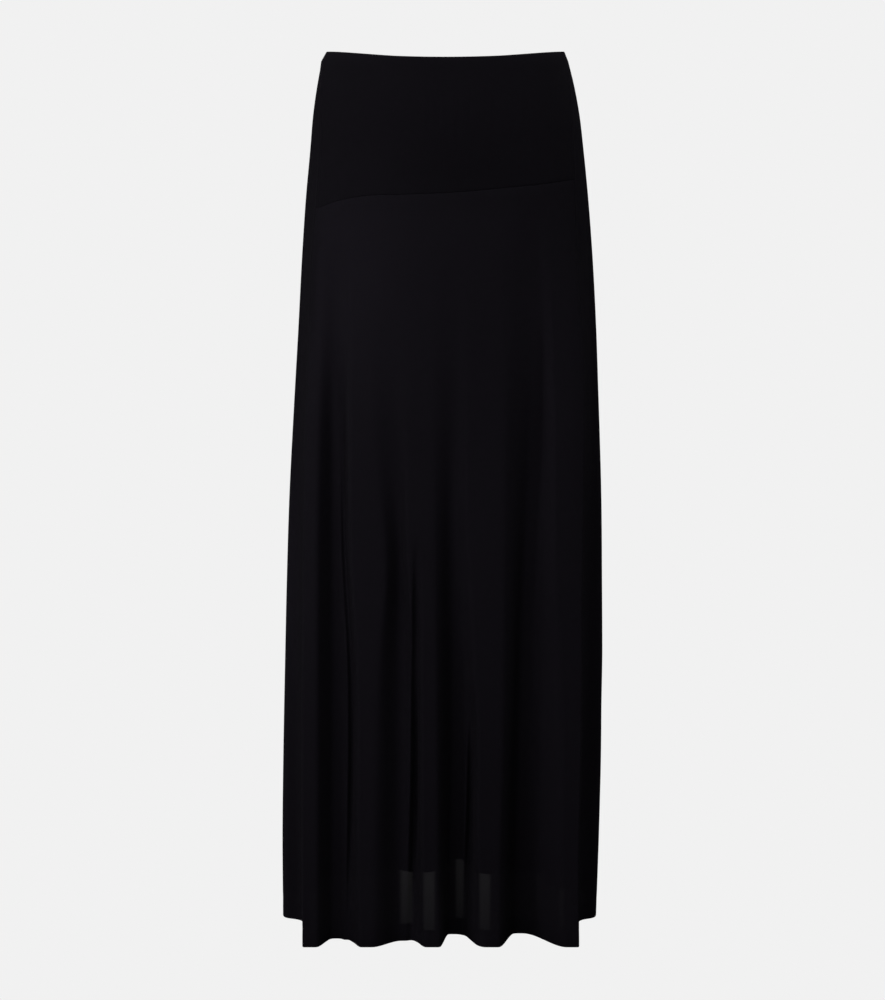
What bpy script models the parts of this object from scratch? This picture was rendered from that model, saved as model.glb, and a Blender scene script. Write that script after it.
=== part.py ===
"""Long wool-jersey skirt, standing open as if worn, with nothing inside it.

Metres, +Z up. The skirt faces -Y. The origin is the middle of the waist opening, at the height of
the waist's side points, and the skirt hangs down from it. A "drop" is a height below the origin.

Each level of the skirt is one closed outline, seen from above. A front run goes from side seam to
side seam, and a back run goes round behind, through a tuck that deepens towards the hem. The three
pieces of cloth are sheets laid on those outlines and given a wall.
"""

import math
from collections import namedtuple

import bmesh
import bpy
import numpy as np

LENGTH = 1.000
WALL = 0.0012
SEAM_GAP = 0.0003
TURN_UP = 0.020
TURN_UP_STEP = 0.002
WAIST_DIP = 0.0060
SEAM_TURN = 0.006
SEAM_TURN_AT_WAIST = 0.0015
TUCK_DROP = 0.25
CORNER_RADIUS = 0.0030
LEVEL_STEP = 0.010
OUTLINE_STEP = 0.001
FRONT_SAMPLES = 321

FRONT_COLUMNS = 66
BACK_COLUMNS = 72
UPPER_ROWS = (0.0, 0.045, 0.15, 0.36, 0.57, 0.78, 1.0)
LOWER_ROWS = 17

# One row for each level. left and right are the outline's widest points and side_y is where they
# lie, *_seam are the side seams, and tuck is 0 on a plain body and 1 where the wall behind the seam
# is pulled right in.
Section = namedtuple(
    "Section", "drop left right left_seam right_seam front_y seam_y side_y back_y tuck"
)
SECTIONS = (
    Section(0.000, -0.1322, 0.1330, -0.1275, 0.1290, -0.0930, -0.0200, 0.000, 0.0960, 0.00),
    Section(0.006, -0.1368, 0.1358, -0.1318, 0.1316, -0.0945, -0.0220, 0.000, 0.0970, 0.00),
    Section(0.020, -0.1398, 0.1399, -0.1342, 0.1346, -0.0965, -0.0255, 0.000, 0.0990, 0.00),
    Section(0.065, -0.1473, 0.1497, -0.1372, 0.1384, -0.1020, -0.0380, 0.000, 0.1060, 0.00),
    Section(0.110, -0.1517, 0.1556, -0.1372, 0.1398, -0.1050, -0.0460, 0.000, 0.1130, 0.05),
    Section(0.160, -0.1568, 0.1611, -0.1400, 0.1410, -0.1070, -0.0520, 0.000, 0.1190, 0.12),
    Section(0.220, -0.1614, 0.1662, -0.1462, 0.1437, -0.1135, -0.0575, 0.000, 0.1240, 0.22),
    Section(0.310, -0.1668, 0.1716, -0.1503, 0.1508, -0.1195, -0.0680, -0.002, 0.1275, 0.38),
    Section(0.400, -0.1724, 0.1750, -0.1546, 0.1545, -0.1225, -0.0790, -0.005, 0.1300, 0.55),
    Section(0.500, -0.1780, 0.1778, -0.1573, 0.1543, -0.1245, -0.0900, -0.009, 0.1330, 0.70),
    Section(0.600, -0.1817, 0.1790, -0.1590, 0.1535, -0.1260, -0.1000, -0.012, 0.1360, 0.80),
    Section(0.700, -0.1845, 0.1800, -0.1606, 0.1537, -0.1272, -0.1090, -0.015, 0.1390, 0.88),
    Section(0.800, -0.1870, 0.1803, -0.1612, 0.1528, -0.1282, -0.1170, -0.018, 0.1420, 0.94),
    Section(0.900, -0.1888, 0.1786, -0.1616, 0.1510, -0.1292, -0.1240, -0.021, 0.1450, 0.98),
    Section(1.000, -0.1890, 0.1762, -0.1617, 0.1518, -0.1300, -0.1300, -0.023, 0.1480, 1.00),
)

# Where the yoke meets the lower front, across the front from the left seam to the right one.
YokeSeam = namedtuple("YokeSeam", "share drop")
YOKE_SEAM = (
    YokeSeam(0.00, 0.1700),
    YokeSeam(0.10, 0.1610),
    YokeSeam(0.20, 0.1555),
    YokeSeam(0.35, 0.1532),
    YokeSeam(0.50, 0.1512),
    YokeSeam(0.75, 0.1455),
    YokeSeam(1.00, 0.1400),
)

# Troughs in the front, each with a row for some of its levels. The cloth leaves the front at
# out_left, is deepest from in_left to in_right and is back at out_right, each as a share of the way
# between the seams. A narrow trough beside a wide one leaves a low ridge between them.
Trough = namedtuple("Trough", "drop out_left in_left in_right out_right depth")
FRONT_TROUGHS = {
    "beside left seam": (
        Trough(0.21, 0.026, 0.086, 0.096, 0.156, 0.0000),
        Trough(0.31, 0.031, 0.098, 0.106, 0.160, 0.0100),
        Trough(0.43, 0.038, 0.106, 0.114, 0.166, 0.0222),
        Trough(0.55, 0.042, 0.110, 0.118, 0.178, 0.0265),
        Trough(0.70, 0.048, 0.115, 0.122, 0.200, 0.0285),
        Trough(1.00, 0.050, 0.107, 0.128, 0.206, 0.0300),
    ),
    "first crease": (
        Trough(0.30, 0.120, 0.134, 0.139, 0.154, 0.0000),
        Trough(0.43, 0.122, 0.140, 0.144, 0.160, 0.0095),
        Trough(0.55, 0.131, 0.148, 0.152, 0.169, 0.0140),
        Trough(0.68, 0.157, 0.174, 0.179, 0.200, 0.0145),
        Trough(0.85, 0.158, 0.175, 0.180, 0.202, 0.0158),
        Trough(1.00, 0.145, 0.168, 0.182, 0.212, 0.0095),
    ),
    "left of middle": (
        Trough(0.28, 0.225, 0.295, 0.305, 0.370, 0.0000),
        Trough(0.38, 0.235, 0.302, 0.312, 0.372, 0.0028),
        Trough(0.49, 0.266, 0.336, 0.341, 0.372, 0.0096),
        Trough(0.55, 0.288, 0.346, 0.350, 0.376, 0.0150),
        Trough(0.68, 0.266, 0.350, 0.358, 0.412, 0.0180),
        Trough(0.85, 0.256, 0.354, 0.364, 0.424, 0.0210),
        Trough(1.00, 0.250, 0.358, 0.366, 0.432, 0.0222),
    ),
    "second crease": (
        Trough(0.53, 0.389, 0.404, 0.408, 0.424, 0.0000),
        Trough(0.66, 0.387, 0.404, 0.410, 0.428, 0.0110),
        Trough(0.85, 0.384, 0.404, 0.413, 0.432, 0.0230),
        Trough(1.00, 0.368, 0.404, 0.413, 0.445, 0.0130),
    ),
    "middle": (
        Trough(0.20, 0.445, 0.525, 0.535, 0.600, 0.0000),
        Trough(0.38, 0.452, 0.526, 0.532, 0.584, 0.0048),
        Trough(0.49, 0.458, 0.530, 0.537, 0.586, 0.0114),
        Trough(0.60, 0.466, 0.538, 0.548, 0.608, 0.0192),
        Trough(0.73, 0.476, 0.542, 0.562, 0.630, 0.0282),
        Trough(1.00, 0.496, 0.530, 0.560, 0.636, 0.0450),
    ),
    "third crease": (
        Trough(0.70, 0.591, 0.606, 0.611, 0.626, 0.0000),
        Trough(0.78, 0.588, 0.606, 0.612, 0.630, 0.0145),
        Trough(0.88, 0.585, 0.606, 0.613, 0.634, 0.0215),
        Trough(1.00, 0.565, 0.597, 0.608, 0.660, 0.0105),
    ),
    "right of middle": (
        Trough(0.16, 0.715, 0.830, 0.850, 0.915, 0.0000),
        Trough(0.31, 0.705, 0.825, 0.852, 0.896, 0.0074),
        Trough(0.43, 0.704, 0.804, 0.848, 0.896, 0.0166),
        Trough(0.55, 0.710, 0.795, 0.832, 0.905, 0.0225),
        Trough(0.68, 0.712, 0.785, 0.818, 0.930, 0.0295),
        Trough(1.00, 0.710, 0.772, 0.800, 0.956, 0.0478),
    ),
}
FLAT_AT_SEAM = 0.04

# Lobes of the back, placed by their angle about the origin: 0 is the right side, 90 the middle of
# the back and 180 the left side.
Lobe = namedtuple("Lobe", "angle half_width out start")
BACK_LOBES = (
    Lobe(21, 8.0, 0.017, 0.34),
    Lobe(51, 9.5, 0.032, 0.22),
    Lobe(85, 6.5, 0.056, 0.20),
    Lobe(114, 7.0, 0.026, 0.30),
    Lobe(139, 9.0, 0.033, 0.24),
    Lobe(164, 6.5, 0.012, 0.38),
)
LOBE_GROWTH = 1.3

# How far along the way from the seam to the side the two points of the tuck lie, and how far in or
# out of the seam they are where it is deepest.
TUCK_INNER = (0.45, -0.0045)
TUCK_OUTER = (0.87, 0.0065)
QUARTER_POINTS = (22, 45, 67)

BLACK_JERSEY = (0.0110, 0.0105, 0.0130)
JERSEY_ROUGHNESS = 0.85


def eased(x):
    """0 below 0, 1 above 1 and an even S between."""
    x = np.clip(x, 0.0, 1.0)
    return x * x * (3.0 - 2.0 * x)


def smooth_between(rows, column, at):
    """The table's column at any value of its first one, on a smooth curve through its rows."""
    known = np.array([row[0] for row in rows])
    values = np.array([getattr(row, column) for row in rows])
    slopes = np.gradient(values, known)
    at = np.clip(at, known[0], known[-1])
    i = np.clip(np.searchsorted(known, at, side="right") - 1, 0, len(known) - 2)
    span = known[i + 1] - known[i]
    t = (at - known[i]) / span
    rise = values[i + 1] - values[i]
    start = slopes[i] * span
    end = slopes[i + 1] * span
    return values[i] + t * (start + t * ((3 * rise - 2 * start - end) + t * (start + end - 2 * rise)))


def seam_turn(drop):
    """How far round the corner a side seam lies: almost on it at the waist, and behind it below."""
    return SEAM_TURN_AT_WAIST + (SEAM_TURN - SEAM_TURN_AT_WAIST) * float(eased(drop / TUCK_DROP))


def section_at(drop):
    return Section(drop, *(smooth_between(SECTIONS, name, drop) for name in Section._fields[1:]))


def growth(drop, start, power):
    """How far a fold that begins at start has grown: 0 there and 1 at the hem."""
    return np.clip((drop - start) / (LENGTH - start), 0.0, 1.0) ** power


def trough_depth(share, drop):
    """How far the front troughs push the cloth back. None reaches the seams."""
    total = np.zeros_like(share)
    for rows in FRONT_TROUGHS.values():
        fold = Trough(drop, *(smooth_between(rows, name, drop) for name in Trough._fields[1:]))
        enter = eased((share - fold.out_left) / (fold.in_left - fold.out_left))
        leave = eased((fold.out_right - share) / (fold.out_right - fold.in_right))
        total += max(fold.depth, 0.0) * enter * leave
    return total * eased(share / FLAT_AT_SEAM) * eased((1.0 - share) / FLAT_AT_SEAM)


def front_run(level):
    """The outline from the left seam across the front to the right one, as (x, y) rows."""
    share = np.linspace(0.0, 1.0, FRONT_SAMPLES)
    x = level.left_seam + share * (level.right_seam - level.left_seam)
    widest = np.where(x < 0, -level.left, level.right)
    seam = np.where(x < 0, -level.left_seam, level.right_seam)
    height = np.sqrt(1.0 - (x / widest) ** 2)
    at_seam = np.sqrt(1.0 - (seam / widest) ** 2)
    bulge = (height - at_seam) / (1.0 - at_seam)
    y = level.seam_y + (level.front_y - level.seam_y) * bulge
    return np.column_stack([x, y + trough_depth(share, level.drop)])


def side_points(level, seam_x, side_x):
    """Points from the seam, through the tuck and the widest point, to just short of mid back."""
    way = level.side_y - level.seam_y
    reach = way / math.sqrt(1.0 - (seam_x / side_x) ** 2)
    outward = math.copysign(1.0, side_x)
    points = [(seam_x, level.seam_y)]
    for share, aside in (TUCK_INNER, TUCK_OUTER):
        y = level.seam_y + share * way
        plain = side_x * math.sqrt(1.0 - ((y - level.side_y) / reach) ** 2)
        tucked = seam_x + outward * aside
        points.append((plain + level.tuck * (tucked - plain), y))
    points.append((side_x, level.side_y))
    for degrees in QUARTER_POINTS:
        angle = math.radians(degrees)
        y = level.side_y + (level.back_y - level.side_y) * math.sin(angle)
        points.append((side_x * math.cos(angle), y))
    return points


def through(points, steps=24):
    """A smooth curve through the points, whose speed follows their spacing."""
    p = np.array(points)
    p = np.vstack([2 * p[0] - p[1], p, 2 * p[-1] - p[-2]])
    knots = np.concatenate([[0.0], np.cumsum(np.sqrt(np.linalg.norm(np.diff(p, axis=0), axis=1)))])
    curve = []
    for i in range(1, len(p) - 2):
        t = np.linspace(knots[i], knots[i + 1], steps, endpoint=False)[:, None]

        def mix(a, b, low, high):
            return a + (b - a) * (t - low) / (high - low)

        one = mix(p[i - 1], p[i], knots[i - 1], knots[i])
        two = mix(p[i], p[i + 1], knots[i], knots[i + 1])
        three = mix(p[i + 1], p[i + 2], knots[i + 1], knots[i + 2])
        first = mix(one, two, knots[i - 1], knots[i + 1])
        second = mix(two, three, knots[i], knots[i + 2])
        curve.append(mix(first, second, knots[i], knots[i + 1]))
    return np.vstack(curve + [p[-2:-1]])


def back_run(level):
    """The outline from the right seam round the back to the left one, with the back's lobes."""
    right = side_points(level, level.right_seam, level.right)
    left = side_points(level, level.left_seam, level.left)
    run = through(right + [(0.0, level.back_y)] + left[::-1])
    radius = np.linalg.norm(run, axis=1)
    angle = np.degrees(np.arctan2(run[:, 1], run[:, 0]))
    out = np.zeros(len(run))
    for lobe in BACK_LOBES:
        grown = growth(level.drop, lobe.start, LOBE_GROWTH)
        out += lobe.out * grown * np.exp(-(((angle - lobe.angle) / lobe.half_width) ** 2))
    return run * (1.0 + out / radius)[:, None]


def outline(drop):
    """One level's closed outline as evenly spaced points, and the arc lengths of its two seams."""
    level = section_at(drop)
    front = front_run(level)
    back = back_run(level)
    loop = np.vstack([front, back[1:]])
    arc = np.concatenate([[0.0], np.cumsum(np.linalg.norm(np.diff(loop, axis=0), axis=1))])
    right_corner = arc[len(front) - 1]
    total = arc[-1]
    count = round(total / OUTLINE_STEP)
    even = np.arange(count) * total / count
    points = np.column_stack([np.interp(even, arc, loop[:, k]) for k in (0, 1)])
    half = round(CORNER_RADIUS / OUTLINE_STEP)
    rounded = sum(np.roll(points, shift, axis=0) for shift in range(-half, half + 1)) / (2 * half + 1)
    return rounded, even, total, right_corner


class Form:
    """The skirt's outer surface, as a place for each share round a piece and each drop."""

    def __init__(self):
        self.drops = np.arange(0.0, LENGTH + LEVEL_STEP / 2, LEVEL_STEP)
        self.levels = [outline(drop) for drop in self.drops]

    def on_level(self, index, piece, share, aside):
        points, even, total, corner = self.levels[index]
        turn = seam_turn(self.drops[index])
        gap = SEAM_GAP / 2
        if piece == "front":
            start, end = -turn + gap, corner + turn - gap
        else:
            start, end = corner + turn + gap, total - turn - gap
        at = start + share * (end - start) + aside * turn / SEAM_TURN
        return np.array([np.interp(at, even, points[:, k], period=total) for k in (0, 1)])

    def place(self, piece, column, drop):
        """column is a share round the piece and a further distance, so that it can follow a seam.

        That distance is the one where the seam lies furthest round its corner.
        """
        low = min(int(drop / LEVEL_STEP), len(self.drops) - 2)
        t = (drop - self.drops[low]) / LEVEL_STEP
        near = self.on_level(low, piece, *column)
        far = self.on_level(low + 1, piece, *column)
        x, y = near + t * (far - near)
        return (x, y, -drop)


def waist_drop(share):
    """The waist's edge dips in the middle of the front and of the back."""
    return WAIST_DIP * math.sin(math.pi * share) ** 2


def seam_drop(share):
    return float(smooth_between(YOKE_SEAM, "drop", share))


def even_shares(count):
    return [i / count for i in range(count + 1)]


def front_columns():
    """Columns for a front piece: even ones, between narrow ones that turn the corner at each seam."""
    near, far = SEAM_TURN - CORNER_RADIUS, SEAM_TURN + CORNER_RADIUS
    inner = [(share, far * (1.0 - 2.0 * share)) for share in even_shares(FRONT_COLUMNS)]
    return [(0.0, 0.0), (0.0, near)] + inner + [(1.0, -near), (1.0, 0.0)]


def back_columns():
    return [(share, 0.0) for share in even_shares(BACK_COLUMNS)]


def lower_rows():
    """Shares of the way from the yoke's level to the hem, with a row at each side of the turn-up's edge."""
    height = LENGTH - seam_drop(0.5)
    edge = 1.0 - TURN_UP / height
    above = edge - TURN_UP_STEP / height
    return [above * share for share in even_shares(LOWER_ROWS)] + [edge, 1.0]


def cloth_material(name):
    material = bpy.data.materials.new(name)
    material.use_nodes = True
    shader = material.node_tree.nodes["Principled BSDF"]
    shader.inputs["Base Color"].default_value = (*BLACK_JERSEY, 1.0)
    shader.inputs["Roughness"].default_value = JERSEY_ROUGHNESS
    shader.inputs["Metallic"].default_value = 0.0
    material.diffuse_color = (*BLACK_JERSEY, 1.0)
    return material


def cloth_piece(collection, name, columns, rows, place, turned_up):
    """A sheet of columns by rows, laid by place(column, share down), with a wall inside it.

    The last two rows are the turned-up hem where turned_up is set, and its wall is twice as thick.
    """
    mesh = bpy.data.meshes.new(name)
    piece = bpy.data.objects.new(name, mesh)
    collection.objects.link(piece)
    sheet = bmesh.new()
    across, down = len(columns) - 1, len(rows) - 1
    bmesh.ops.create_grid(sheet, x_segments=across, y_segments=down, size=0.5)
    thick = []
    for vertex in sheet.verts:
        column = round((vertex.co.x + 0.5) * across)
        row = round((0.5 - vertex.co.y) * down)
        vertex.co = place(columns[column], rows[row])
        if turned_up and row >= len(rows) - 2:
            thick.append(vertex.index)
    sheet.to_mesh(mesh)
    sheet.free()
    mesh.shade_smooth()
    mesh.materials.append(cloth_material(name + "_jersey"))

    wall = piece.modifiers.new("wall", "SOLIDIFY")
    wall.thickness = WALL
    wall.offset = -1.0
    if turned_up:
        group = piece.vertex_groups.new(name="turn_up")
        group.add(thick, 1.0, "REPLACE")
        wall.thickness = 2 * WALL
        wall.vertex_group = group.name
        wall.thickness_vertex_group = 0.5
    return piece


def front_yoke(collection, form):
    """The fitted piece over the front of the hips, from the waist down to its slanted seam."""

    def place(column, down):
        top = waist_drop(column[0])
        bottom = seam_drop(column[0]) - SEAM_GAP / 2
        return form.place("front", column, top + down * (bottom - top))

    return cloth_piece(collection, "front_yoke", front_columns(), UPPER_ROWS, place, False)


def front_skirt(collection, form):
    """The flared lower front, from the yoke's seam to the turned-up hem."""

    def place(column, down):
        top = seam_drop(column[0]) + SEAM_GAP / 2
        return form.place("front", column, top + down * (LENGTH - top))

    return cloth_piece(collection, "front_skirt", front_columns(), lower_rows(), place, True)


def back_skirt(collection, form):
    """The back, cut in one from waist to hem, which comes forward round both sides.

    Its rows meet those of the two front pieces at both seams.
    """
    rows = [(0.0, down) for down in UPPER_ROWS] + [(1.0, down) for down in lower_rows()[1:]]

    def place(column, row):
        stage, down = row
        line = seam_drop(1.0) + column[0] * (seam_drop(0.0) - seam_drop(1.0))
        top = waist_drop(column[0])
        start, end = (line, LENGTH) if stage else (top, line)
        return form.place("back", column, start + down * (end - start))

    return cloth_piece(collection, "back_skirt", back_columns(), rows, place, True)


def main():
    for thing in list(bpy.data.objects):
        bpy.data.objects.remove(thing, do_unlink=True)
    collection = bpy.data.collections.new("wool_skirt")
    bpy.context.scene.collection.children.link(collection)
    form = Form()
    front_yoke(collection, form)
    front_skirt(collection, form)
    back_skirt(collection, form)


main()
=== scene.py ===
import math
from collections import namedtuple

import bmesh
import bpy
import numpy as np
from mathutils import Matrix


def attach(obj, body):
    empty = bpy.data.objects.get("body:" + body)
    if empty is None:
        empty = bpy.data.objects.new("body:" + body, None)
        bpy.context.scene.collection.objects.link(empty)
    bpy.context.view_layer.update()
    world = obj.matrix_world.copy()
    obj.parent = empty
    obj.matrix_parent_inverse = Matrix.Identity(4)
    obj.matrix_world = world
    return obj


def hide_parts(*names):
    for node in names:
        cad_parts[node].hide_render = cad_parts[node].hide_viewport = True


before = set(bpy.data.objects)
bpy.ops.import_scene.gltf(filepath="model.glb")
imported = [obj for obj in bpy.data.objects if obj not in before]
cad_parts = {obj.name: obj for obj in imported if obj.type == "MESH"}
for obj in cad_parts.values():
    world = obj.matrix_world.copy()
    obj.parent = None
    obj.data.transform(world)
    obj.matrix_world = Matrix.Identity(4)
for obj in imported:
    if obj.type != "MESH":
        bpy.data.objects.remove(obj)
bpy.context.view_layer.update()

# Looks for a long black wool-jersey skirt, standing open as if worn, with nothing inside it.
# Metres, +Z up. The skirt faces -Y, the origin is the middle of its waist, and a "drop" is a
# height below the origin. Each level of the cloth is one closed outline seen from above, as in the
# solids, here at a finer step and with the small folds, seams and turned edges.

# The skirt's own sizes. The pieces reach into each other at the seams by SEWN_IN.
LENGTH = 1.000
CLOTH = 0.0007
SEWN_IN = 0.00010
TURN_UP = 0.020
WAIST_DIP = 0.0060
WAIST_TURN = 0.010

# Where the side seams lie: round the front's corners, by a little less near the waist. The front
# is flat beside them, over FLAT_AT_SEAM of its width.
CORNER_RADIUS = 0.0020
SEAM_TURN = 0.006
SEAM_TURN_AT_WAIST = 0.0015
TUCK_DROP = 0.25
FLAT_AT_SEAM = 0.04

# Turned edges: the fold at the waist and the hem, and the shoulders that run into a seam.
FOLD_RADIUS = 0.0009
SHOULDER = 0.0010
ALLOWANCE = 0.0040
ALLOWANCE_LEAN = 0.0012
FLAP_AT_FOLD = 0.1
FLAP_EASE = 0.006

# How finely the form is worked out
LEVEL_STEP = 0.005
OUTLINE_STEP = 0.0005
FRONT_SAMPLES = 641
CURVE_STEPS = 48

# How finely the pieces are divided
FRONT_COLUMNS = 224
BACK_COLUMNS = 300
CORNER_COLUMNS = 12
YOKE_ROWS = 34
LOWER_ROWS = 84
WAIST_ROWS = 4
HEM_ROWS = 12
FOLD_STEPS = 8
SHOULDER_STEPS = 5

# One row for each level. left and right are the outline's widest points and side_y is where they
# lie, *_seam are the side seams, and tuck is 0 on a plain body and 1 where the wall behind the seam
# is pulled right in.
Section = namedtuple(
    "Section", "drop left right left_seam right_seam front_y seam_y side_y back_y tuck"
)
SECTIONS = (
    Section(0.000, -0.1322, 0.1330, -0.1275, 0.1290, -0.0930, -0.0200, 0.000, 0.0960, 0.00),
    Section(0.006, -0.1368, 0.1358, -0.1318, 0.1316, -0.0945, -0.0220, 0.000, 0.0970, 0.00),
    Section(0.020, -0.1398, 0.1399, -0.1342, 0.1346, -0.0965, -0.0255, 0.000, 0.0990, 0.00),
    Section(0.065, -0.1473, 0.1497, -0.1372, 0.1384, -0.1020, -0.0380, 0.000, 0.1060, 0.00),
    Section(0.110, -0.1517, 0.1556, -0.1372, 0.1398, -0.1050, -0.0460, 0.000, 0.1130, 0.05),
    Section(0.160, -0.1568, 0.1611, -0.1400, 0.1410, -0.1070, -0.0520, 0.000, 0.1190, 0.12),
    Section(0.220, -0.1614, 0.1662, -0.1462, 0.1437, -0.1135, -0.0575, 0.000, 0.1240, 0.22),
    Section(0.310, -0.1668, 0.1716, -0.1503, 0.1508, -0.1195, -0.0680, -0.002, 0.1275, 0.38),
    Section(0.400, -0.1724, 0.1750, -0.1546, 0.1545, -0.1225, -0.0790, -0.005, 0.1300, 0.55),
    Section(0.500, -0.1780, 0.1778, -0.1573, 0.1543, -0.1245, -0.0900, -0.009, 0.1330, 0.70),
    Section(0.600, -0.1817, 0.1790, -0.1590, 0.1535, -0.1260, -0.1000, -0.012, 0.1360, 0.80),
    Section(0.700, -0.1845, 0.1800, -0.1606, 0.1537, -0.1272, -0.1090, -0.015, 0.1390, 0.88),
    Section(0.800, -0.1870, 0.1803, -0.1612, 0.1528, -0.1282, -0.1170, -0.018, 0.1420, 0.94),
    Section(0.900, -0.1888, 0.1786, -0.1616, 0.1510, -0.1292, -0.1240, -0.021, 0.1450, 0.98),
    Section(1.000, -0.1890, 0.1762, -0.1617, 0.1518, -0.1300, -0.1300, -0.023, 0.1480, 1.00),
)

# Where the yoke meets the lower front, across the front from the left seam to the right one.
YokeSeam = namedtuple("YokeSeam", "share drop")
YOKE_SEAM = (
    YokeSeam(0.00, 0.1700),
    YokeSeam(0.10, 0.1610),
    YokeSeam(0.20, 0.1555),
    YokeSeam(0.35, 0.1532),
    YokeSeam(0.50, 0.1512),
    YokeSeam(0.75, 0.1455),
    YokeSeam(1.00, 0.1400),
)

# Troughs in the front, each with a row for some of its levels. The cloth leaves the front at
# out_left, is deepest from in_left to in_right and is back at out_right, each as a share of the way
# between the seams. A narrow trough beside a wide one leaves a low ridge between them.
Trough = namedtuple("Trough", "drop out_left in_left in_right out_right depth")
FRONT_TROUGHS = {
    "beside left seam": (
        Trough(0.21, 0.026, 0.086, 0.096, 0.156, 0.0000),
        Trough(0.31, 0.031, 0.098, 0.106, 0.160, 0.0100),
        Trough(0.43, 0.038, 0.106, 0.114, 0.166, 0.0222),
        Trough(0.55, 0.042, 0.110, 0.118, 0.178, 0.0265),
        Trough(0.70, 0.048, 0.115, 0.122, 0.200, 0.0285),
        Trough(1.00, 0.050, 0.107, 0.128, 0.206, 0.0300),
    ),
    "first crease": (
        Trough(0.30, 0.120, 0.134, 0.139, 0.154, 0.0000),
        Trough(0.43, 0.122, 0.140, 0.144, 0.160, 0.0095),
        Trough(0.55, 0.131, 0.148, 0.152, 0.169, 0.0140),
        Trough(0.68, 0.157, 0.174, 0.179, 0.200, 0.0145),
        Trough(0.85, 0.158, 0.175, 0.180, 0.202, 0.0158),
        Trough(1.00, 0.145, 0.168, 0.182, 0.212, 0.0095),
    ),
    "left of middle": (
        Trough(0.28, 0.225, 0.295, 0.305, 0.370, 0.0000),
        Trough(0.38, 0.235, 0.302, 0.312, 0.372, 0.0028),
        Trough(0.49, 0.266, 0.336, 0.341, 0.372, 0.0096),
        Trough(0.55, 0.288, 0.346, 0.350, 0.376, 0.0150),
        Trough(0.68, 0.266, 0.350, 0.358, 0.412, 0.0180),
        Trough(0.85, 0.256, 0.354, 0.364, 0.424, 0.0210),
        Trough(1.00, 0.250, 0.358, 0.366, 0.432, 0.0222),
    ),
    "second crease": (
        Trough(0.53, 0.389, 0.404, 0.408, 0.424, 0.0000),
        Trough(0.66, 0.387, 0.404, 0.410, 0.428, 0.0110),
        Trough(0.85, 0.384, 0.404, 0.413, 0.432, 0.0230),
        Trough(1.00, 0.368, 0.404, 0.413, 0.445, 0.0130),
    ),
    "middle": (
        Trough(0.20, 0.445, 0.525, 0.535, 0.600, 0.0000),
        Trough(0.38, 0.452, 0.526, 0.532, 0.584, 0.0048),
        Trough(0.49, 0.458, 0.530, 0.537, 0.586, 0.0114),
        Trough(0.60, 0.466, 0.538, 0.548, 0.608, 0.0192),
        Trough(0.73, 0.476, 0.542, 0.562, 0.630, 0.0282),
        Trough(1.00, 0.496, 0.530, 0.560, 0.636, 0.0450),
    ),
    "third crease": (
        Trough(0.70, 0.591, 0.606, 0.611, 0.626, 0.0000),
        Trough(0.78, 0.588, 0.606, 0.612, 0.630, 0.0145),
        Trough(0.88, 0.585, 0.606, 0.613, 0.634, 0.0215),
        Trough(1.00, 0.565, 0.597, 0.608, 0.660, 0.0105),
    ),
    "right of middle": (
        Trough(0.16, 0.715, 0.830, 0.850, 0.915, 0.0000),
        Trough(0.31, 0.705, 0.825, 0.852, 0.896, 0.0074),
        Trough(0.43, 0.704, 0.804, 0.848, 0.896, 0.0166),
        Trough(0.55, 0.710, 0.795, 0.832, 0.905, 0.0225),
        Trough(0.68, 0.712, 0.785, 0.818, 0.930, 0.0295),
        Trough(1.00, 0.710, 0.772, 0.800, 0.956, 0.0478),
    ),
}

# Lobes of the back, placed by their angle about the origin: 0 is the right side, 90 the middle of
# the back and 180 the left side.
Lobe = namedtuple("Lobe", "angle half_width out start")
BACK_LOBES = (
    Lobe(21, 8.0, 0.017, 0.34),
    Lobe(51, 9.5, 0.032, 0.22),
    Lobe(85, 6.5, 0.056, 0.20),
    Lobe(114, 7.0, 0.026, 0.30),
    Lobe(139, 9.0, 0.033, 0.24),
    Lobe(164, 6.5, 0.012, 0.38),
)
LOBE_GROWTH = 1.3

# How far along the way from the seam to the side the two points of the tuck lie, and how far in or
# out of the seam they are where it is deepest. From the side to the middle of the back the outline
# is a quarter of an oval, with points at these degrees round it.
TUCK_INNER = (0.45, -0.0045)
TUCK_OUTER = (0.87, 0.0065)
QUARTER_POINTS = (22, 45, 67)


def eased(x):
    """0 below 0, 1 above 1 and an even S between."""
    x = np.clip(x, 0.0, 1.0)
    return x * x * (3.0 - 2.0 * x)


def smooth_between(rows, column, at):
    """The table's column at any value of its first one, on a smooth curve through its rows."""
    known = np.array([row[0] for row in rows])
    values = np.array([getattr(row, column) for row in rows])
    slopes = np.gradient(values, known)
    at = np.clip(at, known[0], known[-1])
    i = np.clip(np.searchsorted(known, at, side="right") - 1, 0, len(known) - 2)
    span = known[i + 1] - known[i]
    t = (at - known[i]) / span
    rise = values[i + 1] - values[i]
    start = slopes[i] * span
    end = slopes[i + 1] * span
    return values[i] + t * (start + t * ((3 * rise - 2 * start - end) + t * (start + end - 2 * rise)))


def section_at(drop):
    return Section(drop, *(smooth_between(SECTIONS, name, drop) for name in Section._fields[1:]))


def seam_turn(drop):
    """How far round the corner a side seam lies: almost on it at the waist, and behind it below."""
    return SEAM_TURN_AT_WAIST + (SEAM_TURN - SEAM_TURN_AT_WAIST) * float(eased(drop / TUCK_DROP))


def growth(drop, start):
    """How far a lobe that begins at start has grown: 0 there and 1 at the hem."""
    return np.clip((drop - start) / (LENGTH - start), 0.0, 1.0) ** LOBE_GROWTH


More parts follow.
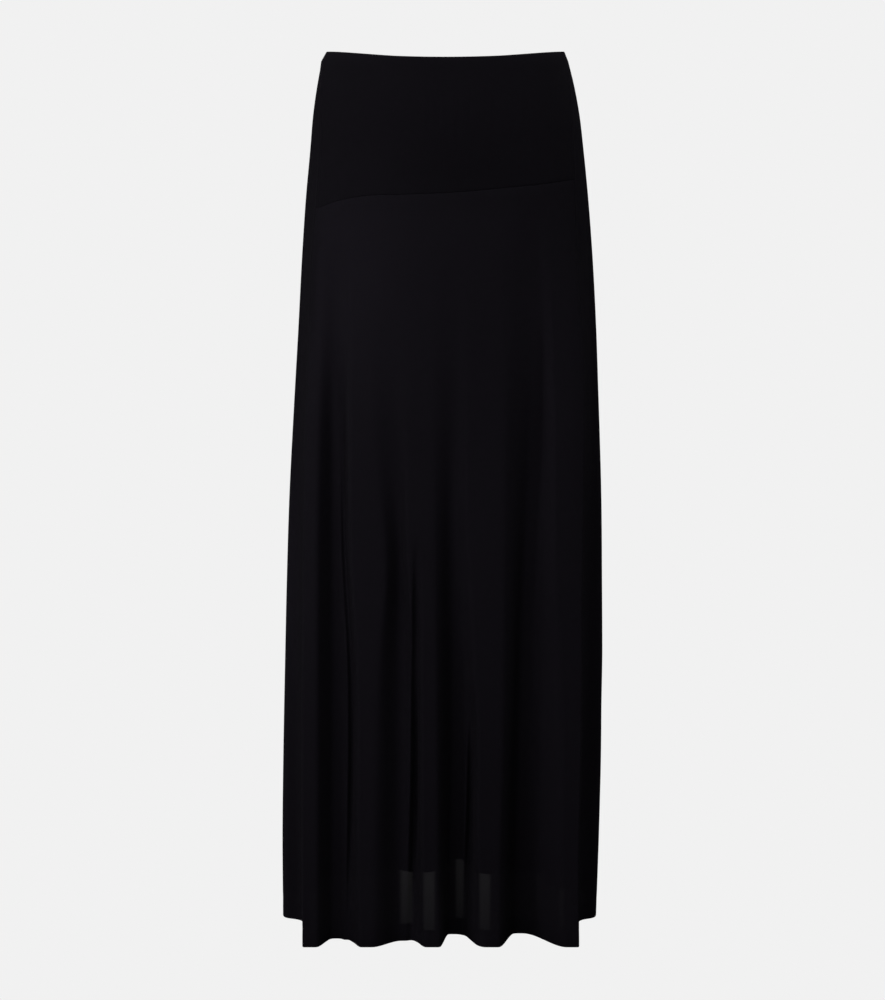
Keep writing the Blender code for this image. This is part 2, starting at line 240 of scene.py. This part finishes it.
def trough_depth(share, drop):
    """How far the front troughs push the cloth back. None reaches the seams."""
    total = np.zeros_like(share)
    for rows in FRONT_TROUGHS.values():
        fold = Trough(drop, *(smooth_between(rows, name, drop) for name in Trough._fields[1:]))
        enter = eased((share - fold.out_left) / (fold.in_left - fold.out_left))
        leave = eased((fold.out_right - share) / (fold.out_right - fold.in_right))
        total += max(fold.depth, 0.0) * enter * leave
    return total * eased(share / FLAT_AT_SEAM) * eased((1.0 - share) / FLAT_AT_SEAM)


def front_run(level):
    """The outline from the left seam across the front to the right one, as (x, y) rows."""
    share = np.linspace(0.0, 1.0, FRONT_SAMPLES)
    x = level.left_seam + share * (level.right_seam - level.left_seam)
    widest = np.where(x < 0, -level.left, level.right)
    seam = np.where(x < 0, -level.left_seam, level.right_seam)
    height = np.sqrt(1.0 - (x / widest) ** 2)
    at_seam = np.sqrt(1.0 - (seam / widest) ** 2)
    bulge = (height - at_seam) / (1.0 - at_seam)
    y = level.seam_y + (level.front_y - level.seam_y) * bulge
    return np.column_stack([x, y + trough_depth(share, level.drop)])


def side_points(level, seam_x, side_x):
    """Points from the seam, through the tuck and the widest point, to just short of mid back."""
    way = level.side_y - level.seam_y
    reach = way / math.sqrt(1.0 - (seam_x / side_x) ** 2)
    outward = math.copysign(1.0, side_x)
    points = [(seam_x, level.seam_y)]
    for share, aside in (TUCK_INNER, TUCK_OUTER):
        y = level.seam_y + share * way
        plain = side_x * math.sqrt(1.0 - ((y - level.side_y) / reach) ** 2)
        tucked = seam_x + outward * aside
        points.append((plain + level.tuck * (tucked - plain), y))
    points.append((side_x, level.side_y))
    for degrees in QUARTER_POINTS:
        angle = math.radians(degrees)
        y = level.side_y + (level.back_y - level.side_y) * math.sin(angle)
        points.append((side_x * math.cos(angle), y))
    return points


def through(points):
    """A smooth curve through the points, whose speed follows their spacing."""
    p = np.array(points)
    p = np.vstack([2 * p[0] - p[1], p, 2 * p[-1] - p[-2]])
    knots = np.concatenate([[0.0], np.cumsum(np.sqrt(np.linalg.norm(np.diff(p, axis=0), axis=1)))])
    curve = []
    for i in range(1, len(p) - 2):
        t = np.linspace(knots[i], knots[i + 1], CURVE_STEPS, endpoint=False)[:, None]

        def mix(a, b, low, high):
            return a + (b - a) * (t - low) / (high - low)

        one = mix(p[i - 1], p[i], knots[i - 1], knots[i])
        two = mix(p[i], p[i + 1], knots[i], knots[i + 1])
        three = mix(p[i + 1], p[i + 2], knots[i + 1], knots[i + 2])
        first = mix(one, two, knots[i - 1], knots[i + 1])
        second = mix(two, three, knots[i], knots[i + 2])
        curve.append(mix(first, second, knots[i], knots[i + 1]))
    return np.vstack(curve + [p[-2:-1]])


def back_run(level):
    """The outline from the right seam round the back to the left one, with the back's lobes."""
    right = side_points(level, level.right_seam, level.right)
    left = side_points(level, level.left_seam, level.left)
    run = through(right + [(0.0, level.back_y)] + left[::-1])
    radius = np.linalg.norm(run, axis=1)
    angle = np.degrees(np.arctan2(run[:, 1], run[:, 0]))
    out = np.zeros(len(run))
    for lobe in BACK_LOBES:
        hump = np.exp(-(((angle - lobe.angle) / lobe.half_width) ** 2))
        out += lobe.out * growth(level.drop, lobe.start) * hump
    return run * (1.0 + out / radius)[:, None]


# One level of the form: its outline's points, the way out at each and their distances along it,
# its whole length, where its right corner is, and how far round a corner its seams lie.
Level = namedtuple("Level", "points outward arc total corner turn")


def outline(drop):
    """One level's closed outline in even steps, with its corners slightly rounded."""
    level = section_at(drop)
    front = front_run(level)
    back = back_run(level)
    loop = np.vstack([front, back[1:]])
    arc = np.concatenate([[0.0], np.cumsum(np.linalg.norm(np.diff(loop, axis=0), axis=1))])
    total = arc[-1]
    count = round(total / OUTLINE_STEP)
    even = np.arange(count) * total / count
    points = np.column_stack([np.interp(even, arc, loop[:, k]) for k in (0, 1)])
    half = round(CORNER_RADIUS / OUTLINE_STEP)
    shifts = range(-half, half + 1)
    rounded = sum(np.roll(points, shift, axis=0) for shift in shifts) / len(shifts)
    along = np.roll(rounded, -1, axis=0) - np.roll(rounded, 1, axis=0)
    along /= np.linalg.norm(along, axis=1)[:, None]
    outward = np.column_stack([along[:, 1], -along[:, 0]])
    return Level(rounded, outward, even, total, arc[len(front) - 1], seam_turn(drop))


class Form:
    """The skirt's outer surface, as a place for each share round a piece and each drop."""

    def __init__(self):
        self.drops = np.arange(0.0, LENGTH + LEVEL_STEP / 2, LEVEL_STEP)
        self.levels = [outline(drop) for drop in self.drops]

    def on_level(self, index, side, share, along, corner):
        """Rows of x, y, the way out, and the distances to the piece's two edges."""
        level = self.levels[index]
        bite = SEWN_IN / 2
        if side == "front":
            start, end = -level.turn - bite, level.corner + level.turn + bite
        else:
            start, end = level.corner + level.turn - bite, level.total - level.turn + bite
        at = start + share * (end - start) + along + corner * level.turn / SEAM_TURN
        found = [
            np.interp(at, level.arc, values, period=level.total)
            for values in (*level.points.T, *level.outward.T)
        ]
        return np.column_stack([*found, at - start, end - at])

    def at(self, side, share, along, corner, drop):
        """on_level between the levels, for arrays of one length."""
        low = np.clip((drop / LEVEL_STEP).astype(int), 0, len(self.drops) - 2)
        t = (drop / LEVEL_STEP - low)[:, None]
        found = np.empty((len(drop), 6))
        for index in np.unique(low):
            here = low == index
            near = self.on_level(index, side, share[here], along[here], corner[here])
            far = self.on_level(index + 1, side, share[here], along[here], corner[here])
            found[here] = near + t[here] * (far - near)
        found[:, 2:4] /= np.linalg.norm(found[:, 2:4], axis=1)[:, None]
        return found


def waist_drop(share):
    """The waist's edge dips in the middle of the front and of the back."""
    return WAIST_DIP * np.sin(math.pi * share) ** 2


def seam_drop(share):
    """How far down the yoke's seam lies."""
    return smooth_between(YOKE_SEAM, "drop", share)


# Small folds and ripples that ride on the big ones: where they lie across the piece, how wide they
# are, how far they stand out or in, and the drops between which they show, starting and ending
# softly. A piece's own share runs from its first side seam to its last: the front's from left to
# right, and the back's from the right one round to the left one.
Ripple = namedtuple("Ripple", "share half_width out top bottom")
FRONT_RIPPLES = (
    Ripple(0.427, 0.011, 0.00060, 0.018, 0.118),
    Ripple(0.475, 0.009, -0.00050, 0.022, 0.122),
    Ripple(0.530, 0.010, 0.00065, 0.020, 0.116),
    Ripple(0.585, 0.009, -0.00045, 0.018, 0.110),
    Ripple(0.672, 0.012, -0.00055, 0.016, 0.118),
    Ripple(0.770, 0.010, 0.00045, 0.024, 0.120),
)
BACK_RIPPLES = (
    Ripple(0.420, 0.012, 0.00040, 0.020, 0.110),
    Ripple(0.475, 0.010, -0.00035, 0.018, 0.100),
    Ripple(0.545, 0.012, 0.00045, 0.024, 0.118),
    Ripple(0.250, 0.030, -0.00150, 0.180, 0.480),
    Ripple(0.610, 0.026, 0.00160, 0.220, 0.560),
    Ripple(0.360, 0.022, 0.00130, 0.520, 0.860),
    Ripple(0.740, 0.024, -0.00140, 0.450, 0.800),
    Ripple(0.130, 0.016, 0.00120, 0.350, 0.760),
)
RIPPLE_STARTS = 0.05
RIPPLE_ENDS = 0.08

# The allowances raise the cloth along a seam, and the turned-up edge leaves a faint line.
SEAM_RIB = 0.0006
SEAM_RIB_WIDTH = 0.0022
HEM_IMPRESSION = 0.00018
HEM_IMPRESSION_WIDTH = 0.0016


def relief(ripples, share, drop, to_edge):
    """How far the surface stands out of the plain form."""
    out = np.zeros_like(share)
    for fold in ripples:
        window = eased((drop - fold.top) / RIPPLE_STARTS) * eased((fold.bottom - drop) / RIPPLE_ENDS)
        out += fold.out * window * np.exp(-(((share - fold.share) / fold.half_width) ** 2))
    out += SEAM_RIB * np.exp(-(((to_edge - 2 * SHOULDER) / SEAM_RIB_WIDTH) ** 2))
    out -= HEM_IMPRESSION * np.exp(-(((drop - LENGTH + TURN_UP) / HEM_IMPRESSION_WIDTH) ** 2))
    return out


# A turned edge is a path of (how far along the surface, how far inward), from its hidden end.
def seam_shoulder():
    """An allowance that stands inward, and the quarter round by which the cloth leaves it."""
    path = [(ALLOWANCE_LEAN, ALLOWANCE), (ALLOWANCE_LEAN / 2, (ALLOWANCE + SHOULDER) / 2)]
    for i in range(SHOULDER_STEPS + 1):
        turn = math.radians(90) * i / SHOULDER_STEPS
        path.append((SHOULDER * (1 - math.cos(turn)), SHOULDER * (1 - math.sin(turn))))
    return path


def turned_edge(reach, rows):
    """Cloth folded in by reach, which lies flat behind the face, and the half round of its fold."""
    path = [(reach + (FOLD_RADIUS - reach) * i / rows, 2 * FOLD_RADIUS) for i in range(rows)]
    for i in range(FOLD_STEPS + 1):
        turn = math.radians(180) * (1 - i / FOLD_STEPS)
        path.append((FOLD_RADIUS * (1 - math.sin(turn)), FOLD_RADIUS * (1 - math.cos(turn))))
    return path


# A column or row of a piece's grid: where it lies on the piece, how far it is shifted along the
# surface and round a corner, how far inward it lies, and its distance on the flat pattern.
Column = namedtuple("Column", "share along corner inward paper")
Row = namedtuple("Row", "down along inward paper")


def lengths(path):
    """The distance along a path from its last point, for each of its points."""
    steps = [math.dist(path[i], path[i + 1]) for i in range(len(path) - 1)]
    return [sum(steps[i:]) for i in range(len(path))]


def columns_between_seams(count):
    """Columns from seam to seam, turned in at both ends and fine round the corners."""
    path = seam_shoulder()
    corner = SEAM_TURN + CORNER_RADIUS
    left = [Column(0.0, along, 0.0, inward, far) for (along, inward), far in zip(path, lengths(path))]
    for i in range(1, CORNER_COLUMNS):
        left.append(Column(0.0, SHOULDER, corner * i / CORNER_COLUMNS, 0.0, 0.0))
    middle = []
    for i in range(count + 1):
        back = 1 - 2 * i / count
        middle.append(Column(i / count, SHOULDER * back, corner * back, 0.0, 0.0))
    right = [Column(1.0, -c.along, -c.corner, c.inward, -c.paper) for c in reversed(left)]
    return left + middle + right


def rows_from(path):
    """The rows of a top edge."""
    return [Row(0.0, along, inward, far) for (along, inward), far in zip(path, lengths(path))]


def rows_to(path):
    """The rows of a bottom edge."""
    return [Row(1.0, -row.along, row.inward, -row.paper) for row in reversed(rows_from(path))]


def rows_between(top_path, bottom_path, count):
    """All rows of a piece: its turned edges, and count steps over the open cloth between them."""
    first, last = top_path[-1][0], bottom_path[-1][0]
    open_rows = [
        Row(i / count, first * (1 - i / count) - last * i / count, 0.0, 0.0) for i in range(1, count)
    ]
    return rows_from(top_path) + open_rows + rows_to(bottom_path)


def flap_kept(drop, inside, top, bottom, folds):
    """How much of a seam's allowance stands free: next to a folded edge it is pressed flat."""
    kept = np.ones_like(drop)
    for edge in folds:
        away = np.abs(drop - {"top": top, "bottom": bottom}[edge])
        kept = np.minimum(kept, np.where(inside > 0.0, 0.0, eased(away / FLAP_EASE)))
    return FLAP_AT_FOLD + (1.0 - FLAP_AT_FOLD) * kept


def facing_out(down_share, inside, folds):
    """1 where the cloth looks straight out, 0 where it looks along the skirt and -1 if folded back."""
    folded = np.where(down_share < 0.5, "top" in folds, "bottom" in folds)
    facing = 1.0 - inside / np.where(folded, FOLD_RADIUS, SHOULDER)
    return np.clip(facing, np.where(folded, -1.0, 0.0), 1.0)


# What a piece is cut to: its side of the form, the columns and rows of its grid, its edges(share),
# which gives the drops of its top and bottom, which of the two are folded, and its small folds.
Cut = namedtuple("Cut", "name side columns rows edges folds ripples")

# Where a piece's points are, on the form and on its flat pattern
Laid = namedtuple("Laid", "places pattern x share drop")


def lay(form, cut, column, row):
    """The cut's points on the form, from the column and row that each point is in."""
    share, along, corner, aside, paper_u = np.array(cut.columns)[column].T
    down_share, fall, inside, paper_v = np.array(cut.rows)[row].T
    top, bottom = cut.edges(share)
    drop = np.clip(top + down_share * (bottom - top) + fall, 0.0, LENGTH)
    flap = flap_kept(drop, inside, top, bottom, cut.folds)
    along = np.where(aside > 0.0, along * flap, along)
    facing = facing_out(down_share, inside, cut.folds)
    drop += aside * flap * np.sqrt(1.0 - facing**2) * (1.0 - 2.0 * down_share)
    x, y, out_x, out_y, from_start, to_end = form.at(cut.side, share, along, corner, drop).T
    out = relief(cut.ripples, share, drop, np.minimum(from_start, to_end))
    out = out - aside * flap * facing - inside
    places = np.column_stack([x + out * out_x, y + out * out_y, -drop])
    pattern = np.column_stack([(from_start - to_end) / 2 - paper_u, -drop + paper_v])
    return Laid(places, pattern, x, share, drop)


def sheet_mesh(form, cut):
    """A grid of columns by rows laid on the form."""
    across, down = len(cut.columns) - 1, len(cut.rows) - 1
    sheet = bmesh.new()
    bmesh.ops.create_grid(sheet, x_segments=across, y_segments=down, size=0.5)
    flat = np.array([vertex.co[:2] for vertex in sheet.verts])
    column = np.rint((flat[:, 0] + 0.5) * across).astype(int)
    row = np.rint((0.5 - flat[:, 1]) * down).astype(int)
    laid = lay(form, cut, column, row)
    for vertex, place in zip(sheet.verts, laid.places):
        vertex.co = place
    cloth_map = sheet.loops.layers.uv.new("cloth")
    for face in sheet.faces:
        for loop in face.loops:
            loop[cloth_map].uv = laid.pattern[loop.vert.index]
    mesh = bpy.data.meshes.new(cut.name)
    sheet.to_mesh(mesh)
    sheet.free()
    # Each point carries how open its knit is, and its painted light and shade.
    for label, values in (
        ("openness", open_knit(cut.side, laid.x, laid.drop)),
        ("painted_light", painted_light(cut.name, laid.share, laid.drop)),
    ):
        attribute = mesh.attributes.new(label, "FLOAT", "POINT")
        attribute.data.foreach_set("value", values.astype(np.float32))
    mesh.shade_smooth()
    return mesh


# How much of what is behind it the jersey lets show: next to nothing, but a little where a fold's
# crest pulls the knit open, from x = left to x = right. StretchAt says how many times as much it is
# at each drop, and below the last one it stays so.
Stretch = namedtuple("Stretch", "left right open_knit")
STRETCHED = (
    Stretch(-0.0530, -0.0350, 0.0048),
    Stretch(-0.0265, -0.0095, 0.0048),
    Stretch(0.0100, 0.0235, 0.0036),
    Stretch(0.0365, 0.0530, 0.0046),
    Stretch(0.1020, 0.1110, 0.0010),
    Stretch(0.1270, 0.1360, 0.0014),
)
StretchAt = namedtuple("StretchAt", "drop times")
STRETCH_DOWN = (
    StretchAt(0.780, 0.00),
    StretchAt(0.840, 1.30),
    StretchAt(0.925, 1.35),
    StretchAt(0.940, 1.10),
    StretchAt(0.960, 0.95),
    StretchAt(0.972, 0.80),
    StretchAt(0.982, 0.62),
)
STRETCH_FADE = 0.0046
OPEN_KNIT = 0.0003


def open_knit(side, x, drop):
    total = np.full_like(x, OPEN_KNIT)
    if side == "front":
        times = np.interp(drop, *zip(*STRETCH_DOWN))
        for crest in STRETCHED:
            rise = eased((x - crest.left) / STRETCH_FADE) * eased((crest.right - x) / STRETCH_FADE)
            total = np.maximum(total, crest.open_knit * rise * times)
    return total


# Painted light and shade on the jersey's face: each piece is painted to a level of its own, the yoke
# darker than the lower front and back, and soft patches are painted lighter where light falls, as over
# the left hip and at the hem's crests, and darker where shade lies, as beside the left seam. share and
# half_width go across the piece, and half_drop goes down it.
PAINTED_LIGHT_LEVEL = {"skirt_yoke": 0.24, "skirt_front": 0.46, "skirt_back": 0.42}
PaintedPatch = namedtuple("PaintedPatch", "piece share half_width drop half_drop amount")
PAINTED_PATCHES = (
    PaintedPatch("skirt_yoke", 0.540, 0.200, 0.125, 0.050, -0.24),
    PaintedPatch("skirt_front", 0.120, 0.240, 0.245, 0.110, 0.60),
    PaintedPatch("skirt_front", 0.000, 0.020, 0.255, 0.060, -0.60),
    PaintedPatch("skirt_front", 0.920, 0.080, 0.380, 0.150, 0.34),
    PaintedPatch("skirt_front", 0.650, 0.080, 0.500, 0.120, 0.12),
    PaintedPatch("skirt_front", 0.230, 0.140, 0.900, 0.150, 0.12),
    PaintedPatch("skirt_front", 0.370, 0.030, 1.000, 0.020, 0.55),
    PaintedPatch("skirt_front", 0.460, 0.035, 1.000, 0.020, 0.55),
    PaintedPatch("skirt_front", 0.660, 0.030, 1.000, 0.020, 0.55),
    PaintedPatch("skirt_back", 0.300, 0.140, 0.280, 0.140, 0.16),
    PaintedPatch("skirt_back", 0.720, 0.100, 0.520, 0.160, 0.12),
    PaintedPatch("skirt_back", 0.500, 0.120, 0.820, 0.140, -0.10),
    PaintedPatch("skirt_back", 0.895, 0.022, 0.620, 0.130, 0.60),
    PaintedPatch("skirt_back", 0.948, 0.032, 0.720, 0.160, -0.40),
)


# Painted light and shade at each point: the piece's own level and its painted patches.
def painted_light(piece, share, drop):
    total = np.full_like(share, PAINTED_LIGHT_LEVEL[piece])
    for patch in PAINTED_PATCHES:
        if patch.piece == piece:
            across = (share - patch.share) / patch.half_width
            down = (drop - patch.drop) / patch.half_drop
            total += patch.amount * np.exp(-(across**2 + down**2))
    return total


def sewn(form, cut, material):
    """The piece of cloth with its thickness, which goes inward from the form."""
    mesh = sheet_mesh(form, cut)
    mesh.materials.append(material)
    piece = bpy.data.objects.new(cut.name, mesh)
    bpy.context.scene.collection.objects.link(piece)
    wall = piece.modifiers.new("wall", "SOLIDIFY")
    wall.thickness = CLOTH
    wall.offset = -1.0
    return piece


def yoke_cut():
    """The fitted piece over the front of the hips, from its turned waist edge to the slanted seam."""
    rows = rows_between(turned_edge(WAIST_TURN, WAIST_ROWS), seam_shoulder(), YOKE_ROWS)

    def edges(share):
        return waist_drop(share), seam_drop(share) + SEWN_IN / 2

    columns = columns_between_seams(FRONT_COLUMNS)
    return Cut("skirt_yoke", "front", columns, rows, edges, ["top"], FRONT_RIPPLES)


def lower_front_cut():
    """The flared lower front, from the yoke's seam to the turned-up hem."""
    rows = rows_between(seam_shoulder(), turned_edge(TURN_UP, HEM_ROWS), LOWER_ROWS)

    def edges(share):
        return seam_drop(share) - SEWN_IN / 2, np.full_like(share, LENGTH)

    columns = columns_between_seams(FRONT_COLUMNS)
    return Cut("skirt_front", "front", columns, rows, edges, ["bottom"], FRONT_RIPPLES)


def back_cut():
    """The back, cut in one from waist to hem, which comes forward round both sides."""
    waist, hem = turned_edge(WAIST_TURN, WAIST_ROWS), turned_edge(TURN_UP, HEM_ROWS)
    rows = rows_between(waist, hem, YOKE_ROWS // 2 + LOWER_ROWS)

    def edges(share):
        return waist_drop(share), np.full_like(share, LENGTH)

    columns = columns_between_seams(BACK_COLUMNS)
    return Cut("skirt_back", "back", columns, rows, edges, ["top", "bottom"], BACK_RIPPLES)


# Black wool jersey: its colour, and the lighter colour painted on where light falls, one stitch's
# width and height, how steeply a stitch's legs slant, and how far stitches and fuzz stand out.
BLACK = (0.0074, 0.0063, 0.0091)
BLACK_PAINTED_LIT = (0.0124, 0.0105, 0.0152)
WALE = 0.0010
COURSE = 0.00075
LEG_SLANT = 0.8
STITCH_DEPTH = 0.00022
STITCH_STRENGTH = 0.45
FUZZ_SCALE = 1900.0
FUZZ_DEPTH = 0.5

# The cloth's own uneven tone, added to the painted light and shade: a slow cloud over the cloth, and a
# little from each stitch.
CLOUD_SCALE = 9.0
CLOUD_AND_STITCH_MIDDLE = 1.1
UNEVEN = 0.16
ROUGHEST = 0.92
ROUGH_UNDER_CLOUD = 0.14


class Nodes:
    """Short names for building one material's nodes."""

    def __init__(self, material):
        material.use_nodes = True
        self.tree = material.node_tree
        self.shader = self.tree.nodes["Principled BSDF"]

    def node(self, kind, **settings):
        made = self.tree.nodes.new(kind)
        for name, value in settings.items():
            setattr(made, name, value)
        return made

    def link(self, output, socket):
        self.tree.links.new(output, socket)

    def math(self, operation, first, second=None, third=None):
        made = self.node("ShaderNodeMath", operation=operation)
        for socket, value in zip(made.inputs, (first, second, third)):
            if value is None:
                continue
            if isinstance(value, (int, float)):
                socket.default_value = value
            else:
                self.link(value, socket)
        return made.outputs[0]


def knit(nodes):
    """How high the yarn stands, 0 to 1, on V-shaped stitches: a leg slants off to each side."""
    cloth = nodes.node("ShaderNodeUVMap", uv_map="cloth")
    parts = nodes.node("ShaderNodeSeparateXYZ")
    nodes.link(cloth.outputs[0], parts.inputs[0])
    wale = nodes.math("DIVIDE", parts.outputs["X"], WALE)
    course = nodes.math("DIVIDE", parts.outputs["Y"], COURSE)
    half = nodes.math("ABSOLUTE", nodes.math("SUBTRACT", nodes.math("FRACT", wale), 0.5))
    aside = nodes.math("MULTIPLY", half, 2.0)
    leg = nodes.math("FRACT", nodes.math("ADD", course, nodes.math("MULTIPLY", aside, LEG_SLANT)))
    ride = nodes.math("SUBTRACT", nodes.math("MULTIPLY", leg, 2.0), 1.0)
    yarn = nodes.math("SUBTRACT", 1.0, nodes.math("MULTIPLY", ride, ride))
    across = nodes.math("SUBTRACT", nodes.math("MULTIPLY", aside, 2.0), 1.0)
    barrel = nodes.math("SUBTRACT", 1.0, nodes.math("MULTIPLY", across, across))
    return nodes.math("SQRT", nodes.math("MAXIMUM", nodes.math("MULTIPLY", yarn, barrel), 0.0))


def jersey():
    material = bpy.data.materials.new("black_wool_jersey")
    nodes = Nodes(material)
    shader = nodes.shader
    shader.inputs["Metallic"].default_value = 0.0
    shader.inputs["Specular IOR Level"].default_value = 0.06
    shader.inputs["Sheen Weight"].default_value = 0.012
    shader.inputs["Sheen Roughness"].default_value = 0.45
    shader.inputs["Sheen Tint"].default_value = (0.75, 0.72, 0.85, 1.0)

    stitch = knit(nodes)
    place = nodes.node("ShaderNodeTexCoord")
    fuzz = nodes.node("ShaderNodeTexNoise")
    fuzz.inputs["Scale"].default_value = FUZZ_SCALE
    fuzz.inputs["Detail"].default_value = 2.0
    nodes.link(place.outputs["Object"], fuzz.inputs["Vector"])
    height = nodes.math("ADD", stitch, nodes.math("MULTIPLY", fuzz.outputs["Fac"], FUZZ_DEPTH))
    bump = nodes.node("ShaderNodeBump")
    bump.inputs["Strength"].default_value = STITCH_STRENGTH
    bump.inputs["Distance"].default_value = STITCH_DEPTH
    nodes.link(height, bump.inputs["Height"])
    nodes.link(bump.outputs[0], shader.inputs["Normal"])

    cloud = nodes.node("ShaderNodeTexNoise")
    cloud.inputs["Scale"].default_value = CLOUD_SCALE
    cloud.inputs["Detail"].default_value = 4.0
    nodes.link(place.outputs["Object"], cloud.inputs["Vector"])
    # The painted light and shade at each point, with the cloth's uneven tone added, mixes the black
    # towards the lighter painted colour.
    face = nodes.node("ShaderNodeAttribute", attribute_name="painted_light")
    both = nodes.math("ADD", stitch, cloud.outputs["Fac"])
    uneven = nodes.math("SUBTRACT", both, CLOUD_AND_STITCH_MIDDLE)
    depth = nodes.math("MULTIPLY_ADD", uneven, UNEVEN, face.outputs["Fac"])
    colour = nodes.node("ShaderNodeMix", data_type="RGBA")
    colour.inputs["A"].default_value = (*BLACK, 1.0)
    colour.inputs["B"].default_value = (*BLACK_PAINTED_LIT, 1.0)
    nodes.link(depth, colour.inputs["Factor"])
    nodes.link(colour.outputs["Result"], shader.inputs["Base Color"])
    smoother = nodes.math("MULTIPLY", cloud.outputs["Fac"], ROUGH_UNDER_CLOUD)
    nodes.link(nodes.math("SUBTRACT", ROUGHEST, smoother), shader.inputs["Roughness"])

    # Light goes through the wall's near face, and its far face lets it on.
    openness = nodes.node("ShaderNodeAttribute", attribute_name="openness")
    side = nodes.node("ShaderNodeNewGeometry")
    solid = nodes.math("SUBTRACT", 1.0, openness.outputs["Fac"])
    near = nodes.math("SUBTRACT", 1.0, side.outputs["Backfacing"])
    nodes.link(nodes.math("MULTIPLY", solid, near), shader.inputs["Alpha"])
    return material


# Studio: an even pale white to look at, which lights the cloth more faintly than that
STUDIO_WHITE = 0.8796
STUDIO_BOUNCE = 0.01
FLOOR_HEIGHT = -1.12
FLOOR_SIZE = 400.0


def shine(tree, glow):
    """Gives the glow one strength to look at and another to light the cloth with."""
    path = tree.nodes.new("ShaderNodeLightPath")
    strength = tree.nodes.new("ShaderNodeMapRange")
    strength.inputs["To Min"].default_value = STUDIO_BOUNCE
    strength.inputs["To Max"].default_value = STUDIO_WHITE
    tree.links.new(path.outputs["Is Camera Ray"], strength.inputs["Value"])
    tree.links.new(strength.outputs[0], glow.inputs["Strength"])


def backdrop():
    world = bpy.data.worlds.new("studio")
    bpy.context.scene.world = world
    world.use_nodes = True
    background = world.node_tree.nodes["Background"]
    background.inputs["Color"].default_value = (1.0, 1.0, 1.0, 1.0)
    shine(world.node_tree, background)


def pale_floor():
    material = bpy.data.materials.new("pale_floor")
    material.use_nodes = True
    tree = material.node_tree
    tree.nodes.remove(tree.nodes["Principled BSDF"])
    glow = tree.nodes.new("ShaderNodeEmission")
    shine(tree, glow)
    tree.links.new(glow.outputs[0], tree.nodes["Material Output"].inputs["Surface"])
    return material


def floor():
    ground = bmesh.new()
    bmesh.ops.create_grid(ground, x_segments=1, y_segments=1, size=FLOOR_SIZE / 2)
    bmesh.ops.translate(ground, verts=ground.verts, vec=(0.0, 0.0, FLOOR_HEIGHT))
    mesh = bpy.data.meshes.new("floor")
    ground.to_mesh(mesh)
    ground.free()
    mesh.materials.append(pale_floor())
    stand = bpy.data.objects.new("floor", mesh)
    bpy.context.scene.collection.objects.link(stand)


# Lamps, each aimed at its target: three small ones near the front, and larger ones further off
Softbox = namedtuple("Softbox", "name place target width height power")
SOFTBOXES = (
    Softbox("front", (-0.445, -1.222, -0.35), (0.0, 0.0, -0.35), 0.6, 0.6, 2.10),
    Softbox("front left", (-0.919, -0.919, -0.35), (0.0, 0.0, -0.35), 0.6, 0.6, 1.95),
    Softbox("front right", (0.260, -1.274, -0.35), (0.0, 0.0, -0.35), 0.6, 0.6, 1.10),
    Softbox("above", (0.0, -0.6, 3.4), (0.0, 0.0, -0.5), 1.1, 1.1, 57.0),
    Softbox("right", (2.59, -0.23, 0.9), (0.0, 0.0, -0.5), 1.1, 1.1, 10.9),
    Softbox("left", (-2.05, -1.60, 0.9), (0.0, 0.0, -0.5), 1.1, 1.1, 6.5),
    Softbox("low left", (-2.59, 0.23, -0.85), (0.0, 0.0, -0.5), 1.1, 1.1, 10.3),
    Softbox("back", (0.0, 2.7, 0.1), (0.0, 0.0, -0.5), 0.4, 1.1, 30.0),
)


def softbox(light):
    lamp = bpy.data.lights.new(light.name, "AREA")
    lamp.shape = "RECTANGLE"
    lamp.size = light.width
    lamp.size_y = light.height
    lamp.energy = light.power
    held = bpy.data.objects.new(light.name, lamp)
    bpy.context.scene.collection.objects.link(held)
    way = np.array(light.target) - np.array(light.place)
    held.location = light.place
    held.rotation_euler = (
        math.atan2(math.hypot(way[0], way[1]), -way[2]),
        0.0,
        math.atan2(way[1], way[0]) - math.pi / 2,
    )
    held.visible_camera = False


# The camera stands 3 m in front of the waist, level with it, and looks slightly down.
CAMERA_PLACE = (-0.003, -3.0, 0.0052)
CAMERA_TILT = 9.71
CAMERA_LENS = 95.34
SENSOR = 36.0


def camera():
    eye = bpy.data.cameras.new("camera")
    eye.lens = CAMERA_LENS
    eye.sensor_width = SENSOR
    stand = bpy.data.objects.new("camera", eye)
    bpy.context.scene.collection.objects.link(stand)
    stand.location = CAMERA_PLACE
    stand.rotation_euler = (math.radians(90.0 - CAMERA_TILT), 0.0, 0.0)
    bpy.context.scene.camera = stand


# What each cut stands for in the solids, and the flat width and length and the area given for it
Cloth = namedtuple("Cloth", "cut node flat area")
PIECES = (
    Cloth(yoke_cut, "front_yoke", (0.31, 0.19), 0.056),
    Cloth(lower_front_cut, "front_skirt", (0.53, 0.90), 0.375),
    Cloth(back_cut, "back_skirt", (0.86, 1.05), 0.745),
)


def skirt():
    form = Form()
    material = jersey()
    for cloth in PIECES:
        piece = sewn(form, cloth.cut(), material)
        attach(piece, "root")
        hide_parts(cloth.node)


def main():
    camera()
    backdrop()
    floor()
    for light in SOFTBOXES:
        softbox(light)
    bpy.context.scene.view_settings.view_transform = "Standard"
    skirt()


def plain(box):
    return [[float(value) for value in corner] for corner in box]


main()
